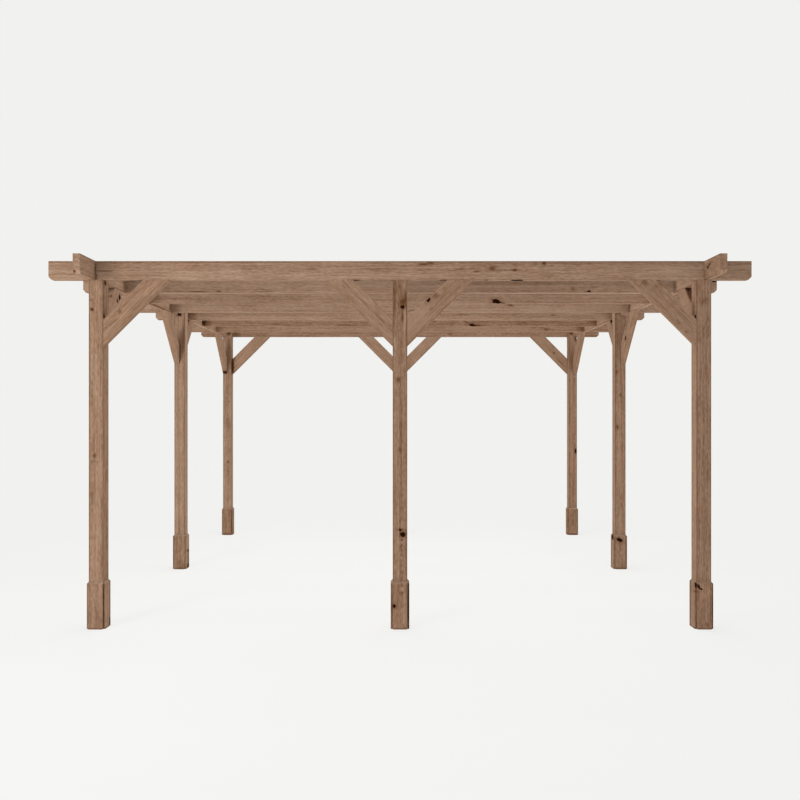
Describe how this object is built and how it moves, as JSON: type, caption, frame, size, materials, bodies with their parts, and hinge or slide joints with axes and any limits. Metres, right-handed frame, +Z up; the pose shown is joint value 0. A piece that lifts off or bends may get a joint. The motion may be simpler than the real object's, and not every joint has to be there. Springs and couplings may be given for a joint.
{
  "type": "wooden pergola",
  "caption": "Free-standing square timber pergola: notched posts carry side beams and level cross-halved rafters with chamfered ends, stiffened by mitred knee braces.",
  "frame": {"origin": "on the floor, at the centre of the square plan", "axes": "+Z up, +X along the rafters to the right as seen from the front, -Y towards the front"},
  "size_m": [4.5, 4.49, 2.354],
  "materials": {
    "posts": "brown-stained planed softwood, satin, knots and fine grain showing",
    "beams": "brown-stained planed softwood, satin, long straight grain",
    "braces": "brown-stained planed softwood, satin, knots near the mitres",
    "foot_boards": "brown-stained planed softwood, satin"
  },
  "bodies": {
    "root": {"front_left_post": "posts", "front_left_foot_boards": "foot_boards", "front_centre_post": "posts", "front_centre_foot_boards": "foot_boards", "front_right_post": "posts", "front_right_foot_boards": "foot_boards", "middle_left_post": "posts", "middle_left_foot_boards": "foot_boards", "middle_right_post": "posts", "middle_right_foot_boards": "foot_boards", "rear_left_post": "posts", "rear_left_foot_boards": "foot_boards", "rear_centre_post": "posts", "rear_centre_foot_boards": "foot_boards", "rear_right_post": "posts", "rear_right_foot_boards": "foot_boards", "left_side_beam": "beams", "right_side_beam": "beams", "rafter_1": "beams", "rafter_2": "beams", "rafter_3": "beams", "rafter_4": "beams", "rafter_5": "beams", "rafter_6": "beams", "rafter_7": "beams", "rafter_8": "beams", "front_left_brace": "braces", "front_centre_left_brace": "braces", "front_centre_right_brace": "braces", "front_right_brace": "braces", "rear_left_brace": "braces", "rear_centre_left_brace": "braces", "rear_centre_right_brace": "braces", "rear_right_brace": "braces", "left_side_front_brace": "braces", "left_side_middle_front_brace": "braces", "left_side_middle_rear_brace": "braces", "left_side_rear_brace": "braces", "right_side_front_brace": "braces", "right_side_middle_front_brace": "braces", "right_side_middle_rear_brace": "braces", "right_side_rear_brace": "braces"}
  },
  "joints": []
}
